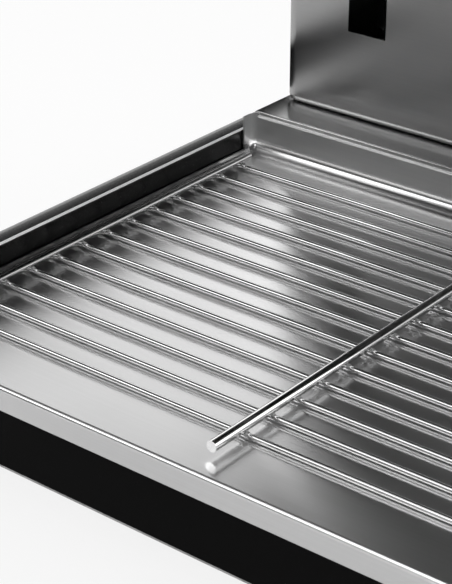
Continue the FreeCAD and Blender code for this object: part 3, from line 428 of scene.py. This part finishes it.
finishes = {
    "black_enamel": blackEnamel("black_enamel", 0.3),
    "plain_sheet": zincSheet("plain_sheet"),
    "brushed_sheet": brushedSheet("brushed_sheet"),
    "reflector": brushedSheet("reflector", 0.1, 0.32, 0.03),
    "bright_steel": brightMetal("bright_steel", 0.7, 0.16, (900, 900, 30)),
    "grid_wire": brightMetal("grid_wire"),
    "wire_rope": ropeSteel("wire_rope"),
    "rubber": moulded("rubber", (0.02, 0.02, 0.02), 0.75, 700, 0.0001),
    "black_plastic": moulded("black_plastic", (0.022, 0.022, 0.022), 0.42),
    "knob_black": moulded("knob_black", (0.016, 0.016, 0.016), 0.26, coat=0.25),
    "pale_plastic": moulded("pale_plastic", (0.62, 0.6, 0.54), 0.5),
    "cast_iron": castMetal("cast_iron"),
    "block_metal": zincSheet("block_metal", 0.56, 0.34),
    "bush_metal": castMetal("bush_metal", 0.34, 0.3),
    "wool": woolFelt("wool"),
    "element_sheath": heatedSheath("element_sheath"),
    "panel_metal": brushedSheet("panel_metal", 0.5, 0.26, 0.04),
    "switch_red": moulded("switch_red", (0.42, 0.015, 0.01), 0.2, coat=0.5),
    "lamp_green": clearLens("lamp_green", (0.03, 0.4, 0.08)),
    "lamp_amber": clearLens("lamp_amber", (0.8, 0.32, 0.02)),
}

# Pieces with a finish of their own: the rails get a painted highlight, a pale stripe along the top's inner
# edge, this far across and down, and the tray gets duller between these depths below its rim, over the
# upper half of the bend that leads from its floor to its walls
ownFinish = {"highlightAcross": 0.0016, "highlightDown": 0.001, "satinBelow": (0.0203, 0.0173)}
low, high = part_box("side_rail_right")
highlightBounds = (low.x + ownFinish["highlightAcross"], high.z - ownFinish["highlightDown"])
satin = [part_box("drip_tray")[1].z - below for below in ownFinish["satinBelow"]]
highlightedRail = blackEnamel("rail_painted_highlight", 0.5, highlightBounds)
columnSheet = brushedSheet("column_sheet", 0.46, 0.2, 0.03)
hoodSheet = brushedSheet("hood_sheet", 0.44, 0.24, 0.04)
own = {
    "side_rail_left": highlightedRail,
    "side_rail_right": highlightedRail,
    "front_fascia": blackEnamel("dull_fascia", 0.02),
    "column_shell": columnSheet,
    "column_cap": columnSheet,
    "hood_shell": hoodSheet,
    "hood_rear_panel": hoodSheet,
    "drip_tray": brushedSheet("tray_sheet", satin=satin),
}
farAway = -100  # the middle of the texture space, far along Y: the brushing's tangent then runs along X
for part in frame["record"]["subparts"]:
    piece = nodes[part["node"]]
    dress(piece, own.get(part["node"]) or finishes[part["material_slot"]])
    piece.data.use_auto_texspace = False
    piece.data.texspace_location = (0, farAway, 0)
    piece.data.texspace_size = (1, 1, 1)

# Ropes: each one is copied into a piece of its own where it stands, and the imported one is hidden
ropes = {"lift_cables": "hood", "weight_cables": "weight"}
for node, body in ropes.items():
    low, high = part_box(node)
    mesh = nodes[node].data.copy()
    mesh.transform(nodes[node].matrix_world)
    rope = put(node + "_running", mesh)
    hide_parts(node)
    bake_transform(rope)

# Weld beads on both sides of each bar, where the wires cross under it. The bars stand in from the grid's
# sides, the rearmost wire lies in from its rear edge and the beads lie above its lowest point
beads = {"wires": 13, "pitch": 0.0208, "fromSide": 0.0064, "fromRear": 0.008, "above": 0.0028,
         "aside": 0.0019, "size": 0.0016, "shape": (1.05, 0.8, 0.62)}
uneven = {"acrossShare": 0.12, "acrossWaves": 900, "alongShare": 0.1, "alongWaves": 1100, "perMetre": 70}
low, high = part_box("wire_grid")
bars = (low.x + beads["fromSide"], 0.0, high.x - beads["fromSide"])
ball = bmesh.new()
bmesh.ops.create_icosphere(ball, subdivisions=3, radius=beads["size"])
points, faces = [], []
for x in bars:
    for index in range(beads["wires"]):
        y = high.y - beads["fromRear"] - index * beads["pitch"]
        for sideways in (-1, 1):
            centre = Vector((x + sideways * beads["aside"], y, low.z + beads["above"]))
            faces += [[len(points) + vert.index for vert in face.verts] for face in ball.faces]
            for vert in ball.verts:
                across = math.sin(uneven["acrossWaves"] * vert.co.x + index)
                along = math.cos(uneven["alongWaves"] * vert.co.y + x * uneven["perMetre"])
                swell = 1 + uneven["acrossShare"] * across + uneven["alongShare"] * along
                points.append(centre + vert.co * Vector(beads["shape"]) * swell)
ball.free()
weldMetal = brightMetal("weld_metal", 0.45, 0.34, (200, 200, 200))
addPiece("weld_beads", points, faces, weldMetal, "grid").data.shade_smooth()
print("weld beads:", 2 * len(bars) * beads["wires"])


# Thin plates around a centre on the control panel, one for each turn from the top. A corner's three bits
# choose its radius, its side and its depth
def printedMarks(name, centre, turns, plate, finish, body):
    sides = ((0, 1, 3, 2), (4, 6, 7, 5), (0, 4, 5, 1), (2, 3, 7, 6), (0, 2, 6, 4), (1, 5, 7, 3))
    points, faces = [], []
    for turn in turns:
        along = Vector((math.sin(turn), 0, math.cos(turn)))
        across = Vector((math.cos(turn), 0, -math.sin(turn))) * plate["half"]
        faces += [[len(points) + corner for corner in side] for side in sides]
        for corner in range(8):
            point = centre + along * plate["reach"][corner & 1] + (across if corner & 2 else -across)
            points.append(point + Vector((0, plate["depth"][corner >> 2], 0)))
    addPiece(name, points, faces, finish, body)


# Dial marks clockwise from off, at the top, over the knobs' 300 degrees, and a pale pointer on each grip
# ridge, which is the knob's foremost part
dials = {"knobs": ("regulator_knob", "timer_knob"), "marks": 11, "step": 30,
         "mark": {"reach": (0.0192, 0.0216), "half": 0.0005, "depth": (-0.0001, 0.0002)},
         "pointer": {"reach": (0.005, 0.0155), "half": 0.0009, "depth": (-0.0001, 0.0003)}}
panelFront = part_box("control_panel")[0].y
ink = moulded("mark_ink", (0.03, 0.03, 0.03), 0.5)
paint = moulded("pointer_paint", (0.8, 0.8, 0.78), 0.4)
sweep = [math.radians(dials["step"] * index) for index in range(dials["marks"])]
for knob in dials["knobs"]:
    low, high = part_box(knob)
    x, z = round((low.x + high.x) / 2, 4), (low.z + high.z) / 2  # to 0.1 mm, as the knob's rim has facets
    printedMarks(knob + "_marks", Vector((x, panelFront, z)), sweep, dials["mark"], ink, "hood")
    printedMarks(knob + "_pointer", Vector((x, low.y, z)), [0.0], dials["pointer"], paint, knob)
print("dial marks drawn")
